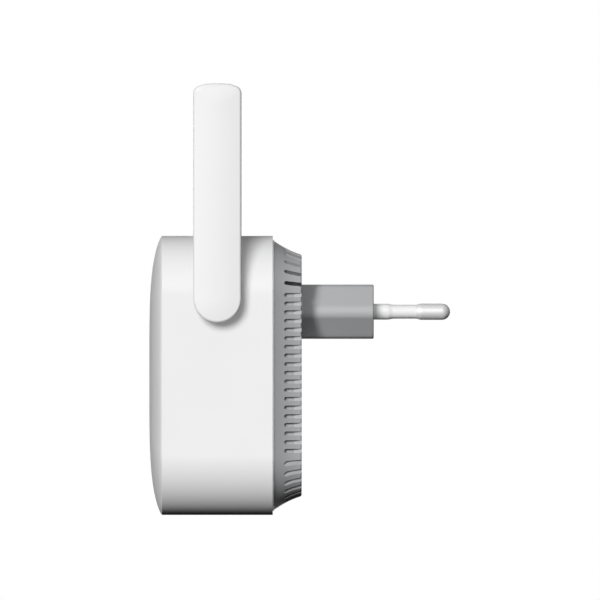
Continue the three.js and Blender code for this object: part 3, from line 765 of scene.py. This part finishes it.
def deep_blades(side, floors):
    """The fan of deep slots round an upper corner."""
    first, pitch = UPPER_FAN
    return [slot_blade(floor, corner_turn(side, first + i * pitch)) for i, floor in enumerate(floors)]


def groove_blades(side):
    """The fan of grooves round a lower corner, the same on the right and the left."""
    first, pitch = LOWER_FAN
    up = 1 if side == 0 else -1
    return [corner_groove(corner_turn(side, first + i * pitch), up) for i in range(GROOVES_PER_CORNER)]


def slot_blades():
    """The vent slots of the four sides and corners."""
    blades = []
    for side in range(4):
        for i in range(SLOTS_PER_SIDE):
            along = (i + 0.5 - SLOTS_PER_SIDE / 2) * SLOT_PITCH + SLOT_SHIFT
            blades.append(slot_blade(SLOT_FLOOR, side_turn(side) @ Matrix.Translation((0, 0, along))))
        blades += deep_blades(side, DEEP_FLOORS) if side in UPPER_CORNERS else groove_blades(side)
    return merged("slot_blades", blades)


def rear_cover():
    """The flared back with its lip, its vent slots, the plug's hole and the screw recesses."""
    depth = BACK - BAND_REAR
    seam = STEP_LIP + SEAM
    lip = HALF - WALL - 0.3 * MM

    def at(aft, half):
        return body_ring(BAND_REAR + aft, half, half - CORNER_CENTRE)

    lip_front = COVER_LOW.y - BAND_REAR
    rings = [at(aft, min(CHAMBER, cover_half(aft) - COVER_WALL))
             for aft in (depth - PANEL, 4.7 * MM, 4.1 * MM, 3.5 * MM, 2.9 * MM, lip_front)]
    rings += [at(lip_front, lip), at(seam, lip), at(seam, cover_half(seam))]
    steps = 10
    last = depth - COVER_FILLET
    for i in range(1, steps + 1):
        aft = seam + (last - seam) * i / steps
        rings.append(at(aft, cover_half(aft)))
    edge = cover_half(last)
    for a, b in arc((0, 0), COVER_FILLET, 15, 90, 6):
        rings.append(at(last + b, edge - COVER_FILLET + a - 0.06 * MM * (b / COVER_FILLET)))
    cover = loft("rear_cover_shell", rings)
    cutters = [slot_blades()]
    hole = plug_outline(0.05 * MM)
    cutters.append(loft("plug_hole", [ring_y(hole, BACK - 4 * MM), ring_y(hole, BACK + 1 * MM)]))
    for sx in (-1, 1):
        for sz in (-1, 1):
            x, z = sx * BOSS, BODY_Z + sz * BOSS
            for radius, deep in ((1.8 * MM, 4 * MM), (2.9 * MM, 1.2 * MM)):
                cutters.append(rod_object("screw_recess", radius, (x, BACK - deep, z),
                                          (x, BACK + 1 * MM, z), 48))
    boolean(cover, cutters)
    piece(cover, "housing", "rear_cover")


def vent_baffle():
    """The wall behind the slots. It is thick at the upper corners, and the slots go on into it there."""
    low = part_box("vent_baffle")[0]
    rear = BACK - PANEL - SEAM
    profile = [(low.y, BAFFLE_HALF), (BAND_REAR + SLOT_START, BAFFLE_HALF), (rear, BAFFLE_REAR_HALF)]
    rings = []
    for y, half in profile:
        rings.append(body_ring(y, half, half - CORNER_CENTRE))
    for y, outer_half in reversed(profile):
        half = outer_half - BAFFLE_WALL
        upper, lower = BAFFLE_THICK_CORNER, half - CORNER_CENTRE
        outline = rounded_outline([(half, half, upper), (-half, half, upper), (-half, -half, lower),
                                   (half, -half, lower)], 20)
        rings.append([Vector((x, y, BODY_Z + z)) for x, z in outline])
    ring = loft("vent_baffle_ring", rings, closed_ends=False)
    blades = [blade for side in UPPER_CORNERS for blade in deep_blades(side, DEEP_FLOORS[:-1])]
    boolean(ring, [merged("corner_blades", blades)])
    piece(ring, "housing", "vent_baffle")


# The mains plug.

def plug_outline(grow):
    """The six-sided outline of the plug body, grown or shrunk."""
    half = PLUG_HALF_HEIGHT + grow
    vertex = PLUG_HALF_WIDTH + grow * math.sqrt(2)
    flat = vertex - half
    side_round = max(0.5 * MM, 2.5 * MM + grow)
    flat_round = max(0.5 * MM, 3 * MM + grow)
    return rounded_outline([
        (vertex, 0, side_round), (flat, half, flat_round), (-flat, half, flat_round),
        (-vertex, 0, side_round), (-flat, -half, flat_round), (flat, -half, flat_round),
    ], 10)


def pin_turn(side):
    """The pins lean towards each other, as on a flat two-pin plug."""
    return Matrix.Translation((side * PIN_BASE, 0, 0)) @ Matrix.Rotation(side * PIN_TILT, 4, "Z")


def plug_body():
    low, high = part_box("plug_body")
    fillet = 0.35 * MM
    flange_back = COVER_HIGH.y - PANEL - 0.3 * MM
    flange = plug_outline(PLUG_FLANGE)
    rings = [ring_y(flange, low.y), ring_y(flange, flange_back), ring_y(plug_outline(0), flange_back)]
    for a, b in arc((0, 0), fillet, 0, 90, 5):
        rings.append(ring_y(plug_outline(a - fillet), high.y - fillet + b))
    body = loft("plug_body_shell", rings)
    cavity = plug_outline(-PLUG_WALL)
    cutters = [loft("cavity", [ring_y(cavity, low.y - 1 * MM), ring_y(cavity, -3 * MM)])]
    for side in (-1, 1):
        hole = rod_object("pin_hole", PIN_RADIUS * MM, (0, -4 * MM, 0), (0, 1 * MM, 0), 40)
        cutters.append(place(hole, pin_turn(side)))
    boolean(body, cutters)
    piece(body, "housing", "plug_body")


def plug_pins():
    """Each pin is a metal tip on a thinner neck, and a moulded sleeve stands round the neck."""
    for label, side in SIDES:
        neck, centre = PIN_NECK, PIN_LENGTH - PIN_RADIUS
        profile = [(0, -10), (neck - 0.15, -10), (neck, -9.85), (neck, 10.8), (1.75, 10.8),
                   (1.79, 11), (1.87, 11.25), (1.96, 11.5), (2.02, 11.75), (PIN_RADIUS, 12.1),
                   (PIN_RADIUS, centre)]
        profile += arc((0, centre), PIN_RADIUS, 8, 82, 9) + [(0, PIN_LENGTH)]
        pin = revolve(f"plug_pin_{label}_turned", [(r * MM, y * MM) for r, y in profile], 48)
        place(pin, pin_turn(side))
        piece(pin, "housing", f"plug_pin_{label}")
        bore = neck + 0.08
        sleeve = [(bore, -4.4), (3.1, -4.4), (3.2, -4.3), (3.2, -3.45), (3.1, -3.35), (2, -3.35),
                  (2, 3.4), (1.98, 3.7), (1.93, 4), (1.86, 4.3), (1.79, 4.6), (1.75, 5),
                  (1.75, 10.78), (bore, 10.78)]
        moulding = revolve(f"pin_sleeve_{label}_moulding", [(r * MM, y * MM) for r, y in sleeve], 48,
                           closed=True)
        place(moulding, pin_turn(side))
        piece(moulding, "housing", f"pin_sleeve_{label}")


# The antennas, drawn with the pivot at the origin and the outer face towards +X.

def antenna_outline(inset):
    """The bar's outline as (y, z): a round foot, and a shallow crown between the round upper corners."""
    half = ANTENNA_HALF - inset
    top = ANTENNA_TOP - inset
    corner = max(0.6 * MM, 2 * MM - inset)
    drop = 0.55 * MM * half / ANTENNA_HALF
    points = arc((0, 0), half, 180, 360, 28)
    straight_end = top - drop - corner
    points += [(half, straight_end * k / 6) for k in range(1, 6)]
    points += arc((half - corner, straight_end), corner, 0, 78, 6)
    for k in range(1, 12):
        y = (half - corner) * (1 - k / 6)
        points.append((y, top - drop * (y / half) ** 2 - 0.005 * MM))
    points += [(-y, z) for y, z in arc((half - corner, straight_end), corner, 78, 0, 6)]
    points += [(-half, straight_end * k / 6) for k in range(5, 0, -1)]
    return points


def crown(y, z):
    """How far the outer face stands above its own edge."""
    radial = math.hypot(y, min(z, 0)) / (ANTENNA_HALF - OUTER_FILLET)
    fade = min(1.0, max(0.0, (ANTENNA_TOP - z) / (5 * MM)))
    return ANTENNA_CROWN * max(0.0, 1 - radial ** 2) * math.sin(fade * math.pi / 2)


def antenna_outer_rings():
    fillet = OUTER_FILLET
    edge = ANTENNA_OUT - ANTENNA_CROWN
    rings = [ring_x(antenna_outline(0.1 * MM), ANTENNA_SPLIT + 0.02 * MM),
             ring_x(antenna_outline(0), ANTENNA_SPLIT + 0.12 * MM)]
    for a, b in arc((0, 0), fillet, 0, 82, 8):
        rings.append(ring_x(antenna_outline(fillet - a), edge - fillet + b))
    rim = antenna_outline(fillet)
    for share in (0.0, 0.12, 0.25, 0.4, 0.55, 0.7, 0.85, 0.97):
        ring = []
        for y, z in rim:
            middle = min(max(z, 0), ANTENNA_TOP - ANTENNA_HALF)
            py = y * (1 - share)
            pz = z + (middle - z) * share
            ring.append(Vector((edge + crown(py, pz), py, pz)))
        rings.append(ring)
    return rings


def antenna_inner_rings():
    fillet = INNER_FILLET
    rings = []
    for a, b in arc((0, 0), fillet, 90, 0, 6):
        rings.append(ring_x(antenna_outline(fillet - a), ANTENNA_GAP + fillet - b))
    rings += [ring_x(antenna_outline(0), ANTENNA_SPLIT - 0.12 * MM),
              ring_x(antenna_outline(0.1 * MM), ANTENNA_SPLIT - 0.02 * MM)]
    return rings


def antenna_shells(label, side):
    """The outer moulding, and the inner one with its bored barrel and the clip's groove."""
    body = f"antenna_{label}"
    turn = hinge_turn(side)
    cavity = antenna_outline(ANTENNA_WALL)
    outer = loft(f"antenna_{label}_outer_moulding", antenna_outer_rings())
    cut = loft("cavity", [ring_x(cavity, ANTENNA_SPLIT - 1 * MM),
                          ring_x(cavity, ANTENNA_OUT - ANTENNA_WALL)])
    boolean(outer, [cut])
    place(outer, turn).visible_diffuse = False
    piece(outer, body, f"antenna_{label}_outer_shell")
    inner = loft(f"antenna_{label}_inner_moulding", antenna_inner_rings())
    cut = loft("cavity", [ring_x(cavity, ANTENNA_GAP + ANTENNA_WALL),
                          ring_x(cavity, ANTENNA_SPLIT + 1 * MM)])
    boolean(inner, [cut])
    boolean(inner, [rod_object("barrel", BARREL_RADIUS, (BARREL_END, 0, 0), (1 * MM, 0, 0), 48)], "UNION")
    groove = rod_object("groove", BARREL_RADIUS + 1 * MM, (-5.3 * MM, 0, 0), (-4.1 * MM, 0, 0), 48)
    boolean(groove, [rod_object("core", GROOVE_NECK, (-6 * MM, 0, 0), (-3 * MM, 0, 0), 48)])
    bore = rod_object("bore", BARREL_BORE, (BARREL_END - 1 * MM, 0, 0), (2 * MM, 0, 0), 40)
    boolean(inner, [groove, bore])
    place(inner, turn).visible_diffuse = False
    piece(inner, body, f"antenna_{label}_inner_shell")


# Screws, button, lamps and network jack.

def turned_screw(node, turn_degrees):
    """A pan-head screw along Y with a cross recess. Its shank carries thread ridges."""
    low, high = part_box(node)
    head = (high.x - low.x) / 2
    length = high.y - low.y
    shank, thread = 1.2 * MM, 0.8 * MM
    profile = [(0, 0), (head - 0.9 * MM, 0)]
    profile += [(head - 0.7 * MM + 0.7 * MM * math.sin(math.radians(a)),
                 -0.6 * MM + 0.6 * MM * math.cos(math.radians(a))) for a in (20, 40, 60, 80)]
    profile += [(head, -0.65 * MM), (head, -0.95 * MM), (head - 0.05 * MM, -1 * MM), (shank, -1 * MM)]
    for k in range(int((length - 1.8 * MM) / thread)):
        y = -1.3 * MM - k * thread
        profile += [(shank, y), (shank - 0.25 * MM, y - 0.3 * MM), (shank - 0.25 * MM, y - 0.5 * MM)]
    profile += [(shank - 0.3 * MM, -length + 0.3 * MM), (0, -length)]
    body = revolve(node + "_turned", profile, 32)
    bars = []
    for quarter in (0, 90):
        rings = [ring_y([(-w, -t), (w, -t), (w, t), (-w, t)], y)
                 for w, t, y in ((0.75 * MM, 0.16 * MM, -0.85 * MM), (1.35 * MM, 0.32 * MM, 0.05 * MM))]
        bars.append(place(loft("bar", rings), Matrix.Rotation(math.radians(quarter), 4, "Y")))
    boolean(body, [boolean(bars[0], [bars[1]], "UNION")])
    centre = (low + high) / 2
    place(body, Matrix.Translation((centre.x, high.y, centre.z))
          @ Matrix.Rotation(math.radians(turn_degrees), 4, "Y"))
    piece(body, "housing", node)


def push_button():
    """The cap on its wide foot, and the plunger that it pushes."""
    low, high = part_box("wps_button")
    shelf, face, edge = high.z - 1 * MM, low.z, 0.45 * MM
    rings = [ring_z(button_outline(grow * MM), face + rise * MM)
             for grow, rise in ((-1.5, 0), (-1.2, 0.01), (-0.9, 0.03), (-0.65, 0.06))]
    for a, b in arc((0, 0), edge, 90, 0, 6):
        rings.append(ring_z(button_outline(a - edge), face + 0.08 * MM + edge - b))
    rings += [ring_z(button_outline(0), shelf), ring_z(button_outline(1 * MM), shelf),
              ring_z(button_outline(1.1 * MM), shelf + 0.1 * MM), ring_z(button_outline(1.1 * MM), high.z)]
    piece(loft("wps_button_cap", rings), "wps_button", "wps_button")
    low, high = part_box("switch_plunger")
    centre, radius = box_centre("switch_plunger"), 1 * MM
    profile = [(0, low.z), (radius - 0.2 * MM, low.z), (radius, low.z + 0.2 * MM),
               (radius, high.z - 0.2 * MM), (radius - 0.2 * MM, high.z), (0, high.z)]
    plunger = revolve("switch_plunger_turned", profile, 24)
    place(plunger, Matrix.Translation((centre.x, centre.y, 0)) @ Matrix.Rotation(math.pi / 2, 4, "X"))
    piece(plunger, "wps_button", "switch_plunger")


def light_pipe(name):
    """A clear rod with a round front end and a collar behind the wall."""
    low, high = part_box(name + "_light_pipe")
    centre = box_centre(name + "_light_pipe")
    stem, collar = LIGHT_RADIUS - 0.05 * MM, LIGHT_RADIUS + 0.9 * MM
    front, back, shelf = low.y, high.y, -53.8 * MM
    profile = [(0, front), (0.35 * MM, front + 0.01 * MM), (0.55 * MM, front + 0.04 * MM),
               (0.68 * MM, front + 0.12 * MM), (stem, front + 0.25 * MM), (stem, shelf),
               (collar - 0.08 * MM, shelf), (collar, shelf + 0.08 * MM), (collar, shelf + 0.92 * MM),
               (collar - 0.08 * MM, shelf + 1 * MM), (stem, shelf + 1 * MM), (stem, back - 0.1 * MM),
               (stem - 0.1 * MM, back), (0, back)]
    pipe = place(revolve(name + "_light_pipe_turned", profile, 32),
                 Matrix.Translation((centre.x, 0, centre.z)))
    piece(pipe, "housing", name + "_light_pipe")


def network_jack():
    """The folded shell, the moulded insert with its stepped opening, and eight sprung contacts."""
    low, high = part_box("jack_shell")
    skin = 0.4 * MM
    outside = box_outline((low.x, low.y), (high.x, high.y), 0.5 * MM, 0)
    inside = box_outline((low.x, low.y), (high.x, high.y), 0.5 * MM, -skin)
    shell = loft("jack_shell_folded", [ring_z(outside, low.z), ring_z(outside, high.z)])
    cutters = [loft("inside", [ring_z(inside, low.z - 1 * MM), ring_z(inside, high.z - skin)])]
    for side in (-1, 1):
        for z in (low.z + 5 * MM, low.z + 12 * MM):
            x = side * high.x
            cutters.append(box_object("spring_slot", (x - 1 * MM, -41 * MM, z),
                                      (x + 1 * MM, -37 * MM, z + 0.5 * MM)))
    boolean(shell, cutters)
    soften(shell, 0.08 * MM)
    piece(shell, "housing", "jack_shell")

    low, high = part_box("jack_insert")
    outline = box_outline((low.x, low.y), (high.x, high.y), 0.4 * MM, 0)
    insert = loft("jack_insert_moulding", [ring_z(outline, low.z), ring_z(outline, high.z)])
    mouth = low.z / MM - 1
    # The plug's opening, the latch's channel, the latch's notch and the room for the contacts.
    pockets = ((5.95, -43.5, -35.2, mouth, -36.5), (3, -35.5, -33.8, mouth, -38),
               (1.6, -34, -33.4, mouth, -44), (5.4, -44.8, -43, -48.5, -36.5))
    cutters = [box_object("pocket", (-half * MM, front * MM, foot * MM), (half * MM, back * MM, top * MM))
               for half, front, back, foot, top in pockets]
    boolean(insert, cutters)
    soften(insert, 0.15 * MM)
    piece(insert, "housing", "jack_insert")

    pitch, count, half_wire = 1.02 * MM, 8, 0.22 * MM
    bend = (-44.05, -47.4)
    finger = [(-44.5, -39.9), *arc(bend, 0.45, 180, 350, 10), (-42.6, -43.4), (-42.9, -43.3),
              *arc(bend, 0.15, 350, 180, 8), (-44.2, -39.9)]
    outline = [(y * MM, z * MM) for y, z in finger]
    wires = [box_object("carrier", (-5.1 * MM, -44.6 * MM, -40 * MM), (5.1 * MM, -44.1 * MM, -36.9 * MM))]
    for i in range(count):
        x = (i + 0.5 - count / 2) * pitch
        wires.append(loft("wire", [ring_x(outline, x - half_wire), ring_x(outline, x + half_wire)]))
    contacts = boolean(wires[0], wires[1:], "UNION")
    contacts.name = "jack_contacts_formed"
    soften(contacts, 0.05 * MM)
    piece(contacts, "housing", "jack_contacts")


# Cables, washers and clips.

def tube(name, points, radius):
    """A round tube along a smooth path through the points, in millimetres."""
    curve = bpy.data.curves.new(name, "CURVE")
    curve.dimensions = "3D"
    curve.bevel_depth = radius
    curve.bevel_resolution = 4
    curve.use_fill_caps = True
    spline = curve.splines.new("BEZIER")
    spline.bezier_points.add(len(points) - 1)
    for knot, point in zip(spline.bezier_points, points):
        knot.co = Vector(point) * MM
        knot.handle_left_type = knot.handle_right_type = "AUTO"
    holder = bpy.data.objects.new(name + "_path", curve)
    SCENE.collection.objects.link(holder)
    mesh = bpy.data.meshes.new_from_object(holder.evaluated_get(bpy.context.evaluated_depsgraph_get()))
    bpy.data.objects.remove(holder)
    obj = bpy.data.objects.new(name, mesh)
    SCENE.collection.objects.link(obj)
    return obj


def antenna_fittings(label, side):
    """An antenna's feed cable, friction washer and clip, and the lead from it to the board."""
    body = f"antenna_{label}"
    turn = hinge_turn(side)
    feed = tube(f"{body}_feed_lead", [(2.27, 0, 16), (2.27, 0, 9), (2.27, 0, 4.5), (2.2, 0, 2.2),
                                      (1.75, 0, 0.8), (0.8, 0, 0.15), (-1, 0, 0), (-4, 0, 0), (-7.2, 0, 0)],
                CABLE_RADIUS)
    piece(place(feed, turn), body, f"{body}_feed_cable")
    ring = [(3.8, -3.9), (5.6, -3.9), (5.8, -3.75), (5.8, -3.3), (5.6, -3.15), (3.8, -3.15)]
    washer = revolve(f"{body}_washer_ring", [(r * MM, x * MM) for r, x in ring], 48, closed=True)
    place(washer, turn @ Matrix.Rotation(-math.pi / 2, 4, "Z"))
    piece(washer, body, f"{body}_friction_washer")
    outline = arc((0, 0), 5.2 * MM, 30, 330, 40) + arc((0, 0), 3 * MM, 330, 30, 32)
    clip = loft(f"{body}_clip_stamped", [ring_x(outline, -5.05 * MM), ring_x(outline, -4.35 * MM)])
    soften(clip, 0.1 * MM)
    piece(place(clip, turn), body, f"{body}_retainer_clip")
    hinge = hinge_place(side) / MM
    lead = tube(f"coax_{label}_lead", [(side * 27.4, hinge.y, hinge.z),
                                       (side * 25.6, hinge.y, hinge.z - 0.1),
                                       (side * 23.6, -40.6, 1.6), (side * 22.2, -42.8, -1.6),
                                       (side * 22, -44.2, -3.4), (side * 22, -45.3, -3.8)],
                CABLE_RADIUS)
    piece(lead, "housing", f"coax_{label}")


# Round components of the power board.

def can(node):
    """An electrolytic capacitor: a groove near the foot, a rounded shoulder and a sunken, scored top."""
    low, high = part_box(node)
    centre = box_centre(node)
    r, groove = (high.x - low.x) / 2, 0.25 * MM
    profile = [(0, high.y), (r - 0.5 * MM, high.y), (r, high.y - 0.3 * MM), (r, high.y - 0.9 * MM),
               (r - groove, high.y - 1.2 * MM), (r - groove, high.y - 1.5 * MM), (r, high.y - 1.8 * MM),
               (r, low.y + 0.6 * MM), (r - 0.15 * MM, low.y + 0.2 * MM), (r - 0.5 * MM, low.y),
               (r - 0.8 * MM, low.y + 0.05 * MM), (r - 0.9 * MM, low.y + 0.25 * MM), (0, low.y + 0.25 * MM)]
    body = place(revolve(node + "_can", profile, 40), Matrix.Translation((centre.x, 0, centre.z)))
    score = box_object("score", (centre.x - r / 2, low.y - 1 * MM, centre.z - 0.1 * MM),
                       (centre.x + r / 2, low.y + 0.4 * MM, centre.z + 0.1 * MM))
    boolean(body, [score])
    piece(body, "housing", node)


def line_choke():
    """A ring wound with wire: each turn is a bulge along the ring."""
    low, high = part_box("line_choke")
    centre = (low + high) / 2
    tube_radius = (high.y - low.y) / 2
    ring_radius = (high.x - low.x) / 2 - tube_radius
    steps, turns, sides = 208, 26, 16
    points, faces = [], []
    for i in range(steps):
        angle = math.tau * i / steps
        radius = tube_radius - 0.13 * MM * (1 - abs(math.cos(turns * angle / 2)))
        for j in range(sides):
            tilt = math.tau * j / sides
            reach = ring_radius + radius * math.cos(tilt)
            points.append((centre.x + reach * math.cos(angle), centre.y + radius * math.sin(tilt),
                           centre.z + reach * math.sin(angle)))
            here, there = i * sides, (i + 1) % steps * sides
            k = (j + 1) % sides
            faces.append((here + j, here + k, there + k, there + j))
    winding = make_object("line_choke_winding", points, faces)
    piece(winding, "housing", "line_choke", sharp_angle=60)


def fuse():
    """A ceramic tube between two end caps."""
    low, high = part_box("fuse")
    centre = (low + high) / 2
    r = (high.x - low.x) / 2
    profile = [(0, low.z), (r - 0.2 * MM, low.z), (r, low.z + 0.2 * MM), (r, low.z + 1.9 * MM),
               (r - 0.15 * MM, low.z + 2 * MM), (r - 0.15 * MM, high.z - 2 * MM), (r, high.z - 1.9 * MM),
               (r, high.z - 0.2 * MM), (r - 0.2 * MM, high.z), (0, high.z)]
    tube_body = revolve("fuse_turned", profile, 32)
    place(tube_body, Matrix.Translation((centre.x, centre.y, 0)) @ Matrix.Rotation(math.pi / 2, 4, "X"))
    piece(tube_body, "housing", "fuse")


front_housing()
rear_cover()
vent_baffle()
plug_body()
plug_pins()
for label, side in SIDES:
    antenna_shells(label, side)
for label, side in SIDES:
    antenna_fittings(label, side)
for k, degrees in enumerate((12, 37, -20, 64)):
    turned_screw(f"housing_screw_{k + 1}", degrees)
turned_screw("board_screw_right", 25)
turned_screw("board_screw_left", -8)
push_button()
light_pipe("status")
light_pipe("signal")
network_jack()
for name in ("mains_capacitor_1", "mains_capacitor_2", "output_capacitor"):
    can(name)
line_choke()
fuse()

for name, node in NODES.items():
    if node.hide_render:
        continue
    node.data.materials.clear()
    node.data.materials.append(MATERIALS[NODE_SLOTS[name]])
    soften(node, EDGE_WEAR)

link_light(KEY, unlit=PLUG_PIECES[:1])
link_light(PLUG_KEY, lit=PLUG_PIECES[:1])
link_light(FILL, unlit=PLUG_PIECES, blockers=("rear_cover_shell", "vent_baffle_ring"))
link_light(PLUG_FILL, lit=PLUG_PIECES, blockers=PLUG_PIECES[1:3])
